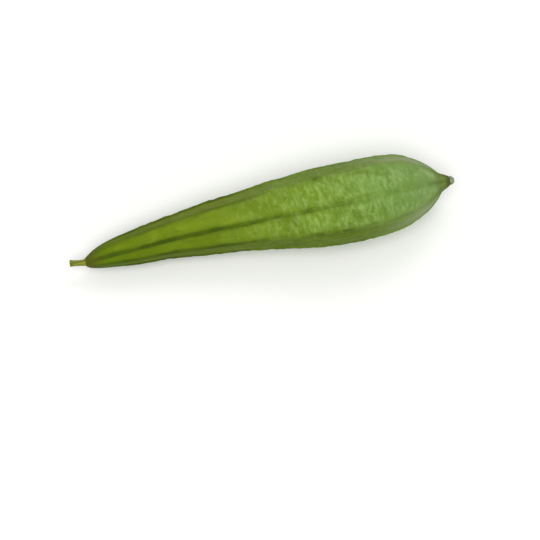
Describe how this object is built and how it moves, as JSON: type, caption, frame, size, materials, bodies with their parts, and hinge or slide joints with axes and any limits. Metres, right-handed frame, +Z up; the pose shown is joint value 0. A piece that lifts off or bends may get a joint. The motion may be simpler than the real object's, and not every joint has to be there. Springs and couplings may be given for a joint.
{
  "type": "ridge gourd",
  "caption": "Picked ridge gourd, an angled luffa: a club-shaped green fruit with raised ridges along it, a short cut stalk and a small pointed beak, lying on its side.",
  "frame": {"origin": "on the surface that the gourd lies on, under the middle of the whole gourd", "axes": "+X from the stalk to the beak, +Z up from the surface that it lies on, +Y to the side that makes a right-handed frame"},
  "size_m": [0.3124, 0.0654, 0.0627],
  "materials": {
    "fruit_skin": "waxy green gourd skin with a dull sheen, wrinkled across, with darker green ridges",
    "stalk": "fibrous yellow-green stalk with a pale cut end",
    "flower_remnant": "dry grey-brown remnant of the flower"
  },
  "bodies": {
    "root": {"fruit": "fruit_skin", "stalk": "stalk", "flower_remnant": "flower_remnant"}
  },
  "joints": []
}
